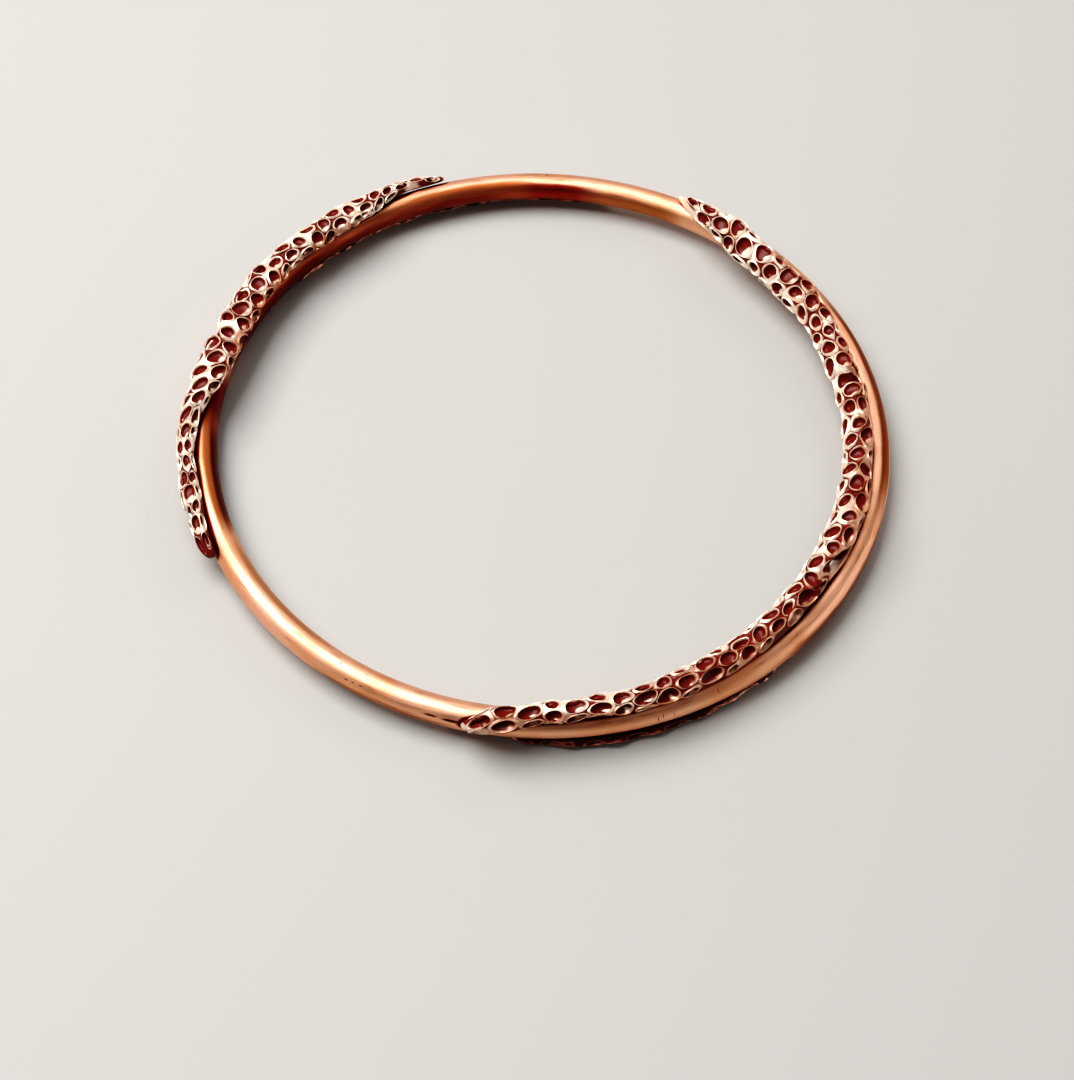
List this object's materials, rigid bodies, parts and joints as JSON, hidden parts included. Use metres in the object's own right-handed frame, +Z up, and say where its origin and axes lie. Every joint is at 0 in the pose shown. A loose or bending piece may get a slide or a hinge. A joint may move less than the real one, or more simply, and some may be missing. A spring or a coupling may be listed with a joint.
{
  "type": "bangle",
  "caption": "Closed copper bangle: a smooth round bar ring with strips of cast coral-like cups along its sides and underside.",
  "frame": {"origin": "centre of the ring, in the middle plane of its bar", "axes": "+Z up, along the ring's axis; the ring lies flat; -Y is towards the viewer of the picture and +X to its right"},
  "size_m": [0.0748, 0.0756, 0.0067],
  "materials": {
    "bar_copper": "satin",
    "crust_copper": "polished"
  },
  "bodies": {
    "root": {"hoop": "bar_copper", "crust_right": "crust_copper", "crust_left": "crust_copper", "crust_under_left": "crust_copper", "crust_under_right": "crust_copper"}
  },
  "joints": []
}
